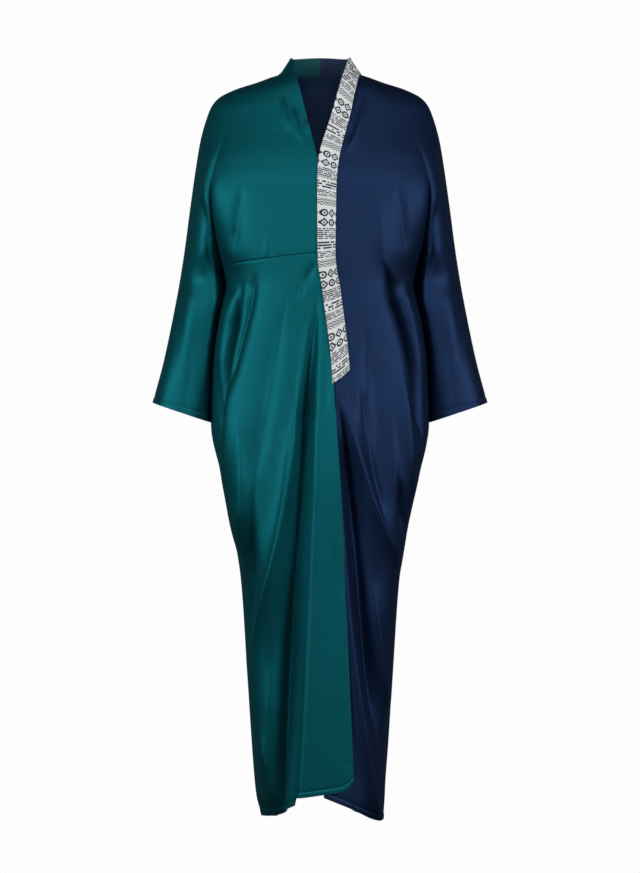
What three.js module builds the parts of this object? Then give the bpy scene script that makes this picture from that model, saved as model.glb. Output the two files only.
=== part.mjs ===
// A long two-colour satin kaftan in the hollow form it has when worn, hanging from the shoulders.
// The wearer's right half is teal, the left half and the back are navy, and both sleeves are cut in
// one with the body. The teal front is seamed under the bust and falls in slanting folds, its edge laps
// over the navy front, and a pale band edges the neck opening of the navy front down to the lap.
//
// Millimetres, +Z up, +X to the wearer's left, the front towards -Y. The origin lies midway between
// the shoulders at the height of the neck's base, where the wearer's shoulders hold the garment up.
//
// The cloth is one surface. At each height it has a ring, and a ring's place c runs from 0 at the
// centre front over 1 at the armpit, 2 at the shoulder or over-arm line and 3 at the armpit behind to
// 4 at the centre back. Below the underarm the stretch from 1 to 3 is the sleeve, a ring of its own.
// A piece is a stretch of that surface given a thickness, with a narrow gap at each seam.
import * as THREE from "three";

const CLOTH = 1.6; // wall of the satin panels
const BAND = 2.6; // wall of the folded bands at the neck
const SEAM = 0.34; // gap between pieces at a seam
const UNDERARM = -387; // height where body and sleeve part
const CUFF_OUTER = -600; // height of the cuff at the over-arm line
const CUFF_INNER = -640; // height of the cuff at its inner seam
const HEM = -1364; // height of the hem at the sides, its lowest line
const HEM_BACK = -1330; // height of the hem at the centre back
const HEM_EDGE = -1312; // height of the hem at the front edges
const HEM_STEP = 29; // how far the front hem then falls on its way to the side
const HEM_STEP_WIDTH = 60; // width over which it falls so far
const HEM_SIDE_DROP = 23; // how far it falls further towards the side
const CORNER_WIDTH = 61; // width of the teal front's rounded lower corner
const CORNER_LIFT = 24; // how far the corner's edge lies above the hem
const HEM_SHIFT_TOP = -1000; // height below which the rows bend to follow the hem
const NECK_SIDE = 7; // height of the neck seam at the side of the neck
const NECK_BACK = 13; // height of the neck seam at the centre back
const STAND_SIDE = 37; // height of the collar's top at the side of the neck
const STAND_BACK = 46; // height of the collar's top at the centre back
const BUST_SEAM = -331; // height of the bust seam beside the band
const BUST_SEAM_FALL = 18; // how far the bust seam falls on its way to the side
const BUST_SEAM_HALF = 158; // distance from the centre line to the end of the bust seam
const BUST_ROWS_TOP = -160; // height of the first row that bends to follow the bust seam
const BUST_ROWS_LOW = -560; // height of the last one
const CREASE_TOP = -60; // height where torso and sleeve begin to part at the armpit
const CREASE_FALL = 230; // how far down they have parted
const HOLLOW = 0.6; // how far the sleeve lies back beside the body, where 0 is a plain arc
const HOLLOW_TOP = -180; // height where it begins to lie back
const HOLLOW_FALL = 200; // how far down it lies back fully
const BAND_LIFT = 3.6; // how far the band's face stands over the fronts beneath it
const STAND_LIFT = 1.8; // how far the back collar's face stands over the neck seam
const LAP_LIFT = 3.4; // how far the lapping teal edge stands over the navy front beneath it
const LAP_TOP = -568; // height where the band ends and the lap begins
const LAP_UNDER = -612; // height where the navy edge begins to run back under the lap
const LAP_RUN = 60; // how far down it has run back
const LAP_EASE = 50; // width over which the lapping cloth rises from the body
const LAP_STEP = 18; // distance between the columns of cloth along the lap
const LAP_COLUMNS = 3; // columns of the lap, which make its width
const BUTT = 1.5; // gap between the two fronts where they meet beneath the band
const NECK_POINT = -164; // height of the neckline's lowest point
const TUCK = 3; // how far the navy front is pressed in beneath the band at the shoulder
const FORK_GAP = 3; // how far the draped teal front stays below the underarm point
const FOLD_START = 0.25; // share of a fold's length in which it rises to its full height
const FOLD_END = 0.35; // share in which it dies away
const FOLD_CREST = 1.6; // 1 gives a fold a sharp crest, 2 a round one

// The body's sections. half: half width. front, back: depth at the centre front and back. sideFront,
// sideBack: depth of the side, or of the armpit's creases. square: 2 is an ellipse, more is squarer.
const BODY = [
  { z: 46, half: 50, front: 14, back: 66, sideFront: 5, sideBack: 5, square: 2 },
  { z: 20, half: 64, front: 30, back: 73, sideFront: 5, sideBack: 5, square: 2 },
  { z: 7, half: 74, front: 36, back: 77, sideFront: 5, sideBack: 5, square: 2 },
  { z: -8, half: 115, front: 43, back: 82, sideFront: 4, sideBack: 4, square: 2 },
  { z: -37, half: 187, front: 54, back: 90, sideFront: -20, sideBack: 30, square: 2.05 },
  { z: -60, half: 203, front: 62, back: 96, sideFront: -40, sideBack: 55, square: 2.1 },
  { z: -100, half: 209, front: 78, back: 105, sideFront: -62, sideBack: 78, square: 2.2 },
  { z: -160, half: 209, front: 103, back: 113, sideFront: -76, sideBack: 84, square: 2.3 },
  { z: -200, half: 206, front: 116, back: 115, sideFront: -74, sideBack: 80, square: 2.4 },
  { z: -250, half: 199, front: 122, back: 116, sideFront: -62, sideBack: 70, square: 2.5 },
  { z: -320, half: 186, front: 124, back: 115, sideFront: -34, sideBack: 46, square: 2.55 },
  { z: -387, half: 174, front: 122, back: 113, sideFront: 8, sideBack: 8, square: 2.5 },
  { z: -414, half: 178.5, front: 121, back: 113, sideFront: -8, sideBack: -8, square: 2.45 },
  { z: -450, half: 186, front: 121, back: 113, sideFront: -20, sideBack: -20, square: 2.4 },
  { z: -525, half: 196.5, front: 123, back: 114, sideFront: -22, sideBack: -22, square: 2.3 },
  { z: -640, half: 201, front: 127, back: 116, sideFront: -20, sideBack: -20, square: 2.25 },
  { z: -735, half: 182, front: 125, back: 114, sideFront: -15, sideBack: -15, square: 2.2 },
  { z: -845, half: 159, front: 121, back: 111, sideFront: -10, sideBack: -10, square: 2.2 },
  { z: -930, half: 146, front: 118, back: 109, sideFront: -6, sideBack: -6, square: 2.2 },
  { z: -1095, half: 135, front: 115, back: 107, sideFront: -3, sideBack: -3, square: 2.2 },
  { z: -1262, half: 124, front: 112, back: 105, sideFront: 0, sideBack: 0, square: 2.2 },
  { z: -1325, half: 118, front: 111, back: 104, sideFront: 0, sideBack: 0, square: 2.2 },
  { z: -1364, half: 108, front: 109, back: 102, sideFront: 0, sideBack: 0, square: 2.2 },
];

// The sleeve's sections, with the shoulder above them. inner, seam: place and depth of the sleeve's
// inner seam below the underarm. outer, ridge: place and depth of the over-arm line. bulgeFront,
// bulgeBack: how far the sleeve rounds out before and behind.
const SLEEVE = [
  { z: 46, inner: 0, seam: 0, outer: 50, ridge: 5, bulgeFront: 0, bulgeBack: 0 },
  { z: 38, inner: 0, seam: 0, outer: 53, ridge: 5, bulgeFront: 0, bulgeBack: 0 },
  { z: 20, inner: 0, seam: 0, outer: 64, ridge: 5, bulgeFront: 0, bulgeBack: 0 },
  { z: 7, inner: 0, seam: 0, outer: 74, ridge: 5, bulgeFront: 0, bulgeBack: 0 },
  { z: 0, inner: 0, seam: 0, outer: 94, ridge: 4, bulgeFront: 0, bulgeBack: 0 },
  { z: -8, inner: 0, seam: 0, outer: 115, ridge: 4, bulgeFront: 0, bulgeBack: 0 },
  { z: -22, inner: 0, seam: 0, outer: 158, ridge: 3, bulgeFront: 0, bulgeBack: 0 },
  { z: -37, inner: 0, seam: 0, outer: 187, ridge: 2, bulgeFront: 0, bulgeBack: 0 },
  { z: -52, inner: 0, seam: 0, outer: 200, ridge: 1, bulgeFront: 4, bulgeBack: 4 },
  { z: -76, inner: 0, seam: 0, outer: 210, ridge: 2, bulgeFront: 12, bulgeBack: 12 },
  { z: -115, inner: 0, seam: 0, outer: 221, ridge: 6, bulgeFront: 22, bulgeBack: 32 },
  { z: -160, inner: 0, seam: 0, outer: 229, ridge: 11, bulgeFront: 32, bulgeBack: 44 },
  { z: -240, inner: 174, seam: 8, outer: 241, ridge: 21, bulgeFront: 48, bulgeBack: 52 },
  { z: -320, inner: 174, seam: 8, outer: 252, ridge: 31, bulgeFront: 63, bulgeBack: 64 },
  { z: -387, inner: 174, seam: 8, outer: 263, ridge: 38, bulgeFront: 73, bulgeBack: 84 },
  { z: -414, inner: 181, seam: 24, outer: 268, ridge: 40, bulgeFront: 84, bulgeBack: 81 },
  { z: -450, inner: 186, seam: 36, outer: 275, ridge: 42, bulgeFront: 93, bulgeBack: 79 },
  { z: -525, inner: 193, seam: 44, outer: 291, ridge: 44, bulgeFront: 101, bulgeBack: 79 },
  { z: -600, inner: 196.8, seam: 45, outer: 311, ridge: 45, bulgeFront: 105, bulgeBack: 81 },
  { z: -660, inner: 198, seam: 45, outer: 325, ridge: 45, bulgeFront: 106, bulgeBack: 82 },
];

// The lines on the front, by height: the teal front's edge and the band's two edges.
const EDGES = [
  { z: 37, teal: -52, bandInner: 52, bandOuter: 90 },
  { z: 7, teal: -45, bandInner: 43.5, bandOuter: 74 },
  { z: -80, teal: -23.5, bandInner: 19.5, bandOuter: 54 },
  { z: -164, teal: -3, bandInner: -3, bandOuter: 34 },
  { z: -205, teal: 7, bandInner: -5, bandOuter: 30 },
  { z: -335, teal: 10, bandInner: -4.5, bandOuter: 28 },
  { z: -405, teal: 16, bandInner: 5, bandOuter: 38 },
  { z: -568, teal: 25, bandInner: 22, bandOuter: 54 },
  { z: -680, teal: 32, bandInner: 22, bandOuter: 54 },
  { z: -790, teal: 39, bandInner: 22, bandOuter: 54 },
  { z: -1020, teal: 49, bandInner: 22, bandOuter: 54 },
  { z: -1220, teal: 57, bandInner: 22, bandOuter: 54 },
  { z: -1364, teal: 63, bandInner: 22, bandOuter: 54 },
];
const BAND_END_OUTER = -543; // height of the slanted end of the band at its outer edge

// The folds: each follows a curve through three places. left, right: how widely it falls away on
// either side. rise: its height, or its depth where negative. open: 1 where it runs out at the hem.
const FRONT_FOLDS = [
  { x0: -115, z0: -371, x1: -163, z1: -471, x2: -190, z2: -642, left: 22, right: 14, rise: -15, open: 0 },
  { x0: -101, z0: -380, x1: -132, z1: -460, x2: -156, z2: -520, left: 12, right: 12, rise: -7, open: 0 },
  { x0: -51, z0: -389, x1: -62, z1: -438, x2: -80, z2: -534, left: 12, right: 12, rise: -5, open: 0 },
  { x0: -9, z0: -348, x1: -29, z1: -447, x2: -49, z2: -651, left: 13, right: 13, rise: -7, open: 0 },
  { x0: -1, z0: -402, x1: -18, z1: -556, x2: -27, z2: -651, left: 12, right: 12, rise: -8, open: 0 },
  { x0: -151, z0: -640, x1: -141, z1: -760, x2: -143, z2: -880, left: 22, right: 14, rise: 10, open: 0 },
  { x0: -44, z0: -590, x1: -65, z1: -749, x2: -127, z2: -1085, left: 12, right: 30, rise: 13, open: 0 },
  { x0: -6, z0: -540, x1: -13, z1: -814, x2: -40, z2: -1364, left: 11, right: 40, rise: 10, open: 1 },
  { x0: -24, z0: -592, x1: -49, z1: -914, x2: -75, z2: -1210, left: 16, right: 13, rise: -9, open: 0 },
  { x0: -113, z0: -1120, x1: -105, z1: -1221, x2: -85, z2: -1364, left: 14, right: 14, rise: 5, open: 1 },
  { x0: 109, z0: -200, x1: 116, z1: -371, x2: 148, z2: -577, left: 16, right: 16, rise: 5, open: 0 },
  { x0: 154, z0: -410, x1: 167, z1: -577, x2: 180, z2: -690, left: 16, right: 12, rise: -12, open: 0 },
  { x0: 159, z0: -580, x1: 167, z1: -678, x2: 172, z2: -780, left: 12, right: 12, rise: 8, open: 0 },
  { x0: 40, z0: -690, x1: 55, z1: -923, x2: 98, z2: -1300, left: 13, right: 20, rise: 7, open: 0 },
  { x0: 47, z0: -570, x1: 92, z1: -733, x2: 144, z2: -905, left: 30, right: 12, rise: 15, open: 0 },
  { x0: 130, z0: -590, x1: 133, z1: -713, x2: 143, z2: -860, left: 12, right: 12, rise: 7, open: 0 },
  { x0: 100, z0: -970, x1: 112, z1: -1053, x2: 130, z2: -1150, left: 14, right: 12, rise: 6, open: 0 },
  { x0: 66, z0: -850, x1: 82, z1: -967, x2: 100, z2: -1090, left: 15, right: 15, rise: -8, open: 0 },
  { x0: -138, z0: -200, x1: -151, z1: -288, x2: -158, z2: -360, left: 12, right: 12, rise: -6, open: 0 },
  { x0: 138, z0: -200, x1: 151, z1: -288, x2: 158, z2: -360, left: 12, right: 12, rise: -6, open: 0 },
];
const BACK_FOLDS = [
  { x0: -120, z0: -250, x1: -150, z1: -450, x2: -165, z2: -700, left: 20, right: 16, rise: -10, open: 0 },
  { x0: 126, z0: -260, x1: 148, z1: -440, x2: 168, z2: -690, left: 16, right: 20, rise: -10, open: 0 },
  { x0: -60, z0: -330, x1: -72, z1: -600, x2: -112, z2: -900, left: 18, right: 22, rise: 9, open: 0 },
  { x0: 52, z0: -300, x1: 70, z1: -560, x2: 118, z2: -880, left: 22, right: 18, rise: 9, open: 0 },
  { x0: -20, z0: -420, x1: -24, z1: -800, x2: -46, z2: -1364, left: 22, right: 26, rise: 8, open: 1 },
  { x0: 14, z0: -520, x1: 26, z1: -900, x2: 40, z2: -1364, left: 24, right: 18, rise: -7, open: 1 },
  { x0: 86, z0: -860, x1: 84, z1: -1100, x2: 72, z2: -1364, left: 18, right: 18, rise: 7, open: 1 },
  { x0: -92, z0: -900, x1: -88, z1: -1120, x2: -80, z2: -1364, left: 16, right: 20, rise: 6, open: 1 },
];
const SLEEVE_FOLDS = [
  { x0: 226, z0: -190, x1: 214, z1: -300, x2: 196, z2: -400, left: 14, right: 12, rise: -9, open: 0 },
  { x0: 236, z0: -330, x1: 244, z1: -450, x2: 262, z2: -640, left: 14, right: 14, rise: 5, open: 1 },
];

const FRONT_COLUMNS = 16; // columns of cells from the front edge to the side
const SLEEVE_COLUMNS = 7; // columns of cells from the armpit to the over-arm line, in front
const BACK_COLUMNS = 9; // columns of cells from the centre back to the side
const BACK_SLEEVE_COLUMNS = 6; // columns of cells from the armpit to the over-arm line, behind
const STAND_COLUMNS = 8; // columns of cells of each half of the back collar
const STAND_ROWS = 3; // rows of cells of the back collar
const BAND_ROWS = 27; // rows of cells along the band
const BAND_COLUMNS = 3; // columns of cells across the band

// The heights of the rows of cells, from the top of the collar to the hem.
const ROW_STRETCHES = [
  { from: STAND_SIDE, to: NECK_SIDE, rows: 4 },
  { from: NECK_SIDE, to: -60, rows: 6 },
  { from: -60, to: -160, rows: 4 },
  { from: -160, to: UNDERARM, rows: 8 },
  { from: UNDERARM, to: CUFF_INNER, rows: 8 },
  { from: CUFF_INNER, to: HEM, rows: 20 },
];

const mix = (a, b, t) => a + (b - a) * t;
const clamp01 = (t) => Math.min(Math.max(t, 0), 1);
const smooth = (t) => clamp01(t) ** 2 * (3 - 2 * clamp01(t));

// A smooth curve through a table's column, with no overshoot. Its rows run down in z.
function column(table, name) {
  const x = table.map((row) => -row.z);
  const y = table.map((row) => row[name]);
  const rise = y.slice(1).map((v, i) => (v - y[i]) / (x[i + 1] - x[i]));
  const slope = y.map((_, i) => {
    if (i === 0) return rise[0];
    if (i === y.length - 1) return rise[i - 1];
    const product = rise[i - 1] * rise[i];
    return product <= 0 ? 0 : (2 * product) / (rise[i - 1] + rise[i]);
  });
  return (z) => {
    const at = Math.min(Math.max(-z, x[0]), x[x.length - 1]);
    let i = 0;
    while (i < x.length - 2 && at > x[i + 1]) i++;
    const h = x[i + 1] - x[i];
    const t = (at - x[i]) / h;
    const u = 1 - t;
    const ends = y[i] * u * u * (1 + 2 * t) + y[i + 1] * t * t * (3 - 2 * t);
    return ends + h * t * u * (slope[i] * u - slope[i + 1] * t);
  };
}

function columns(table) {
  const names = Object.keys(table[0]).filter((name) => name !== "z");
  return Object.fromEntries(names.map((name) => [name, column(table, name)]));
}

const body = columns(BODY);
const sleeve = columns(SLEEVE);
const edges = columns(EDGES);

// ---- The surface without its folds ----

// A quarter of a section, from its centre line (t = 0) to its side (t = 1).
function quarter(t, half, centreY, sideY, square) {
  const angle = (clamp01(t) * Math.PI) / 2;
  const across = Math.sin(angle) ** (2 / square);
  const deep = Math.cos(angle) ** (2 / square);
  return { x: half * across, y: mix(sideY, centreY, deep) };
}

// The whole ring as one rounded form, as it is at the shoulders.
function oneRing(c, z) {
  const behind = c > 2;
  const t = behind ? (4 - c) / 2 : c / 2;
  const centreY = behind ? body.back(z) : -body.front(z);
  return quarter(t, sleeve.outer(z), centreY, sleeve.ridge(z), body.square(z));
}

// The ring as torso and sleeve side by side, with the armpit's crease between them.
function twoRings(c, z) {
  const behind = c > 2;
  const place = behind ? 4 - c : c;
  const below = z < UNDERARM;
  const sideY = behind ? body.sideBack(z) : body.sideFront(z);
  if (place <= 1) {
    const centreY = behind ? body.back(z) : -body.front(z);
    return quarter(place, body.half(z), centreY, sideY, body.square(z));
  }
  const angle = (place - 1) * Math.PI;
  const across = (1 - Math.cos(angle)) / 2;
  const innerX = below ? sleeve.inner(z) : body.half(z);
  const innerY = below ? sleeve.seam(z) : sideY;
  const bulge = behind ? sleeve.bulgeBack(z) : -sleeve.bulgeFront(z);
  const hollow = angle < Math.PI / 2 ? HOLLOW * smooth((HOLLOW_TOP - z) / HOLLOW_FALL) : 0;
  const arc = mix(Math.sin(angle), Math.sin(angle) ** 2, hollow);
  const y = mix(innerY, sleeve.ridge(z), across) + bulge * arc;
  return { x: mix(innerX, sleeve.outer(z), across), y };
}

// A place past the centre front (c < 0) or the centre back (c > 4) lies on the garment's other side.
// limb picks the sleeve rather than the body where c is exactly at the armpit.
function ring(c, z, limb) {
  if (c < 0) return mirrored(ring(-c, z, limb));
  if (c > 4) return mirrored(ring(8 - c, z, limb));
  const nudge = limb ? 1e-9 : -1e-9;
  const place = c === 1 ? 1 + nudge : c === 3 ? 3 - nudge : c;
  const apart = smooth((CREASE_TOP - z) / CREASE_FALL);
  const one = oneRing(place, z);
  const two = twoRings(place, z);
  return { x: mix(one.x, two.x, apart), y: mix(one.y, two.y, apart) };
}

function mirrored(point) {
  return { x: -point.x, y: point.y };
}

// The place on the front at a distance x from the centre line.
function placeAt(x, z) {
  let low = 0;
  let high = z < UNDERARM ? 1 : 2;
  for (let i = 0; i < 30; i++) {
    const middle = (low + high) / 2;
    if (ring(middle, z, false).x < Math.abs(x)) low = middle;
    else high = middle;
  }
  return Math.sign(x) * low;
}

// ---- The folds ----

function foldHeight(fold, x, z) {
  const t = (z - fold.z0) / (fold.z2 - fold.z0);
  if (t <= 0 || t >= 1 + fold.open) return 0;
  const tMiddle = (fold.z1 - fold.z0) / (fold.z2 - fold.z0);
  const bow = (fold.x1 - mix(fold.x0, fold.x2, tMiddle)) / (tMiddle * (1 - tMiddle));
  const crest = mix(fold.x0, fold.x2, t) + bow * t * (1 - t);
  const away = x < crest ? (crest - x) / fold.left : (x - crest) / fold.right;
  const end = fold.open ? 1 : smooth((1 - t) / FOLD_END);
  return fold.rise * smooth(t / FOLD_START) * end * Math.exp(-(away ** FOLD_CREST));
}

const foldsHeight = (folds, x, z) => folds.reduce((sum, fold) => sum + foldHeight(fold, x, z), 0);

// The band is sewn down flat, so the folds begin beside it.
function clearOfBand(x, z) {
  const beside = Math.max(edges.bandInner(z) - x, x - edges.bandOuter(z));
  return Math.max(smooth((beside - 2) / 16), smooth((LAP_TOP - z) / LAP_RUN));
}

function folded(c, x, z) {
  const place = Math.abs(c);
  if (place <= 1) {
    return foldsHeight(FRONT_FOLDS, x, z) * clearOfBand(x, z) * smooth((1 - place) / 0.15);
  }
  if (place >= 3) return foldsHeight(BACK_FOLDS, x, z) * smooth((place - 3) / 0.15);
  const flat = smooth((place - 1) / 0.25) * smooth((3 - place) / 0.25) * smooth(Math.abs(place - 2) / 0.4);
  return foldsHeight(SLEEVE_FOLDS, Math.abs(x), z) * flat;
}

// ---- The surface with its folds ----

// The stretch of places that hang together with this one at this height.
function reach(c, z, limb) {
  if (z >= UNDERARM) return [-4, 8];
  if (limb) return [1, 3];
  return c <= 1 ? [-1, 1] : [3, 5];
}

function acrossAndDown(at, side, c, z, limb) {
  const [first, last] = reach(c, z, limb);
  const step = 0.004;
  const along = at(Math.min(c + step, last), z).sub(at(Math.max(c - step, first), z));
  const up = at(c, z + 1).sub(at(c, z - 1));
  return along.cross(up).multiplyScalar(side).normalize();
}

function plainPoint(side, c, z, limb) {
  const { x, y } = ring(c, z, limb);
  return new THREE.Vector3(side * x, y, z);
}

function plainNormal(side, c, z, limb) {
  return acrossAndDown((cc, zz) => plainPoint(side, cc, zz, limb), side, c, z, limb);
}

function point(side, c, z, limb) {
  const plain = plainPoint(side, c, z, limb);
  return plain.addScaledVector(plainNormal(side, c, z, limb), folded(c, plain.x, z));
}

// At the underarm point the cloth turns over from the body to the sleeve and faces down.
function normal(side, c, z, limb) {
  if ((c === 1 || c === 3) && Math.abs(z - UNDERARM) < 1) return new THREE.Vector3(0, 0, -1);
  return acrossAndDown((cc, zz) => point(side, cc, zz, limb), side, c, z, limb);
}

// ---- Walls ----

// A wall of cloth over cells of four corners, each named by a key. The cells share their corners, and
// the wall is closed by a rim along every edge that only one cell has.
function wall(cells, place, thickness) {
  const numbers = new Map();
  const outer = [];
  const inner = [];
  const number = (key) => {
    if (!numbers.has(key)) {
      const { at, out, lift } = place(key);
      numbers.set(key, outer.length);
      outer.push(at.clone().addScaledVector(out, lift));
      inner.push(at.clone().addScaledVector(out, lift - thickness));
    }
    return numbers.get(key);
  };
  const triangles = cells.flatMap((cell) => {
    const [a, b, c, d] = cell.map(number);
    return [
      [a, b, c],
      [a, c, d],
    ];
  });
  const count = outer.length;
  const index = [];
  const open = new Map();
  for (const triangle of triangles) {
    const [a, b, c] = triangle;
    index.push(a, b, c, c + count, b + count, a + count);
    for (const [p, q] of [[a, b], [b, c], [c, a]]) {
      if (open.has(`${q},${p}`)) open.delete(`${q},${p}`);
      else open.set(`${p},${q}`, [p, q]);
    }
  }
  for (const [p, q] of open.values()) {
    index.push(q, p, p + count, q, p + count, q + count);
  }
  const positions = [...outer, ...inner].flatMap((v) => [v.x, v.y, v.z]);
  const geometry = new THREE.BufferGeometry();
  geometry.setAttribute("position", new THREE.Float32BufferAttribute(positions, 3));
  geometry.setIndex(index);
  geometry.computeVertexNormals();
  return geometry;
}

// The corners of a cell, the right way round for a face that looks out. Both fronts split their cells
// along the same diagonal, so that the lapping cloth lies parallel to the cloth beneath it.
function cell(i, j, tags, rightward) {
  const key = (column, row) => `${column},${row},${tags(column, row)}`;
  const corners = [key(i, j), key(i, j + 1), key(i + 1, j + 1), key(i + 1, j)];
  return rightward ? corners : [corners[3], corners[2], corners[1], corners[0]];
}

const rowHeights = ROW_STRETCHES.flatMap(({ from, to, rows }) =>
  Array.from({ length: rows }, (_, i) => mix(from, to, i / rows)),
).concat(HEM);
const rowAt = (z) => rowHeights.findIndex((height) => Math.abs(height - z) < 0.01);
const NECK_ROW = rowAt(NECK_SIDE);
const ARM_ROW = rowAt(UNDERARM);
const CUFF_ROW = rowAt(CUFF_INNER);
const HEM_ROW = rowHeights.length - 1;

// How far the row at the underarm rises towards the front, to follow the bust seam.
function seamRise(x) {
  const away = Math.abs(x);
  const fall = BUST_SEAM_FALL * clamp01(away / BUST_SEAM_HALF);
  return mix(BUST_SEAM - UNDERARM - fall, 0, smooth((away - BUST_SEAM_HALF) / BUST_SEAM_FALL));
}

function rowShift(z) {
  const end = z > UNDERARM ? BUST_ROWS_TOP : BUST_ROWS_LOW;
  return clamp01((end - z) / (end - UNDERARM));
}

// The hem's height along the front. The teal front's edge is rounded off at its lower corner.
function frontHem(side, x) {
  const away = Math.abs(x);
  const fall = HEM_STEP * clamp01(away / HEM_STEP_WIDTH);
  const level = HEM_EDGE - fall - HEM_SIDE_DROP * smooth((away - 50) / 58);
  if (side > 0 || x < 0) return level;
  const corner = clamp01(x / CORNER_WIDTH);
  return HEM_EDGE + CORNER_LIFT * (corner / 3 + (2 / 3) * corner ** 6);
}

function backHem(t) {
  return mix(HEM_BACK, HEM, mix(t, smooth(t), 0.4));
}

const hemShare = (z) => clamp01((HEM_SHIFT_TOP - z) / (HEM_SHIFT_TOP - HEM)) ** 1.5;

function cuffHeight(across) {
  return mix(CUFF_INNER, CUFF_OUTER, across);
}

// The height on the sleeve below the underarm, whose rows spread towards the slanted cuff.
function sleeveHeight(nominal, c) {
  const across = (1 - Math.cos((c <= 2 ? c - 1 : 3 - c) * Math.PI)) / 2;
  const share = (nominal - UNDERARM) / (CUFF_INNER - UNDERARM);
  return mix(UNDERARM, cuffHeight(across), share);
}

// ---- The two fronts ----

// The navy front's edge: under the band it meets the teal one, and below it runs back under the lap.
function navyEdge(z) {
  const beside = edges.teal(z) + BUTT;
  const bandMiddle = (edges.bandInner(z) + edges.bandOuter(z)) / 2;
  const edge = z > NECK_POINT ? Math.max(bandMiddle, beside) : beside;
  return mix(edge, edges.teal(z) - LAP_STEP * LAP_COLUMNS, smooth((LAP_UNDER - z) / LAP_RUN));
}

// The place where the front's columns pass from the body to the sleeve.
function armpitPlace(z, first) {
  const even = mix(first, 2, FRONT_COLUMNS / (FRONT_COLUMNS + SLEEVE_COLUMNS));
  return mix(1, even, smooth((z + 160) / 160));
}

// The place and height of one corner of the front's cells, in body columns. turn is -1 on the teal
// front and 1 on the navy one, and distances are measured towards the side that the front is on.
function frontCorner(turn, i, nominal) {
  const edgeX = (z) => turn * (turn < 0 ? edges.teal(z) : navyEdge(z));
  const across = (z) => {
    const start = edgeX(z);
    const end = ring(armpitPlace(z, placeAt(start, z)), z, false).x;
    const step = Math.min(LAP_STEP, (end - start) / 8);
    if (i <= LAP_COLUMNS) return start + step * i;
    const t = (i - LAP_COLUMNS) / (FRONT_COLUMNS - LAP_COLUMNS);
    return mix(start + step * LAP_COLUMNS, end, 1 - (1 - t) ** 1.5);
  };
  const x = turn * across(nominal);
  const hem = frontHem(turn, x);
  const z = nominal + seamRise(x) * rowShift(nominal) + (hem - HEM) * hemShare(nominal);
  const c = i === FRONT_COLUMNS ? armpitPlace(z, placeAt(edgeX(z), z)) : placeAt(across(z), z);
  return { c, z };
}

// How far the teal front stands out over the navy one beneath its edge.
function lapLift(x, z) {
  const over = navyEdge(z);
  return LAP_LIFT * smooth((LAP_TOP - z) / 30) * smooth((x - over + 62) / LAP_EASE);
}

// How far the navy front lies back beneath the upper end of the band.
function tuckLift(x, z) {
  return -TUCK * smooth((z + 90) / 60) * smooth((edges.bandOuter(z) + 8 - x) / 10);
}

function frontPlace(turn, key) {
  const [i, j, tag] = key.split(",");
  const nominal = rowHeights[j];
  const limb = tag === "sleeve";
  const past = (i - FRONT_COLUMNS) / SLEEVE_COLUMNS;
  let corner;
  if (i <= FRONT_COLUMNS && !limb) {
    corner = frontCorner(turn, Number(i), nominal);
  } else {
    const first = frontCorner(turn, FRONT_COLUMNS, nominal).c;
    const c = past >= 1 ? 2 : limb ? 1 + past : mix(first, 2, past);
    corner = { c, z: limb ? sleeveHeight(nominal, c) : nominal };
  }
  const atFork = tag === "under" && Number(i) === FRONT_COLUMNS;
  if (tag === "under") corner.z -= atFork ? FORK_GAP : 2 * SEAM;
  const at = point(turn, corner.c, corner.z, limb);
  if (atFork) at.y -= FORK_GAP / 2;
  const out = normal(turn, corner.c, corner.z, limb);
  if (corner.c === 2 || (corner.c === 1 && corner.z < UNDERARM + 1)) at.y -= SEAM / 2;
  return { at, out, lift: turn < 0 ? lapLift(at.x, at.z) : tuckLift(at.x, at.z) };
}

function frontCells(turn, part) {
  const cells = [];
  const rightward = turn > 0;
  const whole = () => "body";
  const limb = (column, row) => (row > ARM_ROW ? "sleeve" : "body");
  const under = (column, row) => (row === ARM_ROW ? "under" : "body");
  const all = FRONT_COLUMNS + SLEEVE_COLUMNS;
  const top = turn < 0 ? 0 : NECK_ROW;
  if (part !== "lower") {
    for (let j = top; j < ARM_ROW; j++) for (let i = 0; i < all; i++) cells.push(cell(i, j, whole, rightward));
    for (let j = ARM_ROW; j < CUFF_ROW; j++) {
      for (let i = FRONT_COLUMNS; i < all; i++) cells.push(cell(i, j, limb, rightward));
    }
  }
  if (part !== "upper") {
    const tags = part === "lower" ? under : whole;
    for (let j = ARM_ROW; j < HEM_ROW; j++) {
      for (let i = 0; i < FRONT_COLUMNS; i++) cells.push(cell(i, j, tags, rightward));
    }
  }
  return cells;
}

function front(turn, part) {
  return wall(frontCells(turn, part), (key) => frontPlace(turn, key), CLOTH);
}

// ---- The back, in one piece with the backs of both sleeves ----

function backPlace(key) {
  const [i, j, tag] = key.split(",");
  const turn = i < 0 ? -1 : 1;
  const number = Math.abs(i);
  const nominal = rowHeights[j];
  const limb = tag === "sleeve";
  const side = BACK_COLUMNS;
  let c;
  if (number <= side && !limb) {
    const t = number / side;
    const split = armpitPlace(nominal, 0);
    c = 4 - mix(0, split, 1 - (1 - t) ** 1.25);
    if (number === side) c = 4 - split;
  } else {
    const past = (number - side) / BACK_SLEEVE_COLUMNS;
    c = past >= 1 ? 2 : limb ? 3 - past : 4 - mix(armpitPlace(nominal, 0), 2, past);
  }
  const rise = mix(0, NECK_BACK - NECK_SIDE, smooth((c - 2) / 2)) * smooth((nominal + 30) / 37);
  const hem = (backHem(4 - c) - HEM) * hemShare(nominal);
  const z = limb ? sleeveHeight(nominal, c) : nominal + rise + hem;
  const at = point(turn, c, z, limb);
  const out = normal(turn, c, z, limb);
  if (c === 2 || (c === 3 && z < UNDERARM + 1)) at.y += SEAM / 2;
  return { at, out, lift: 0 };
}

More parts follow.
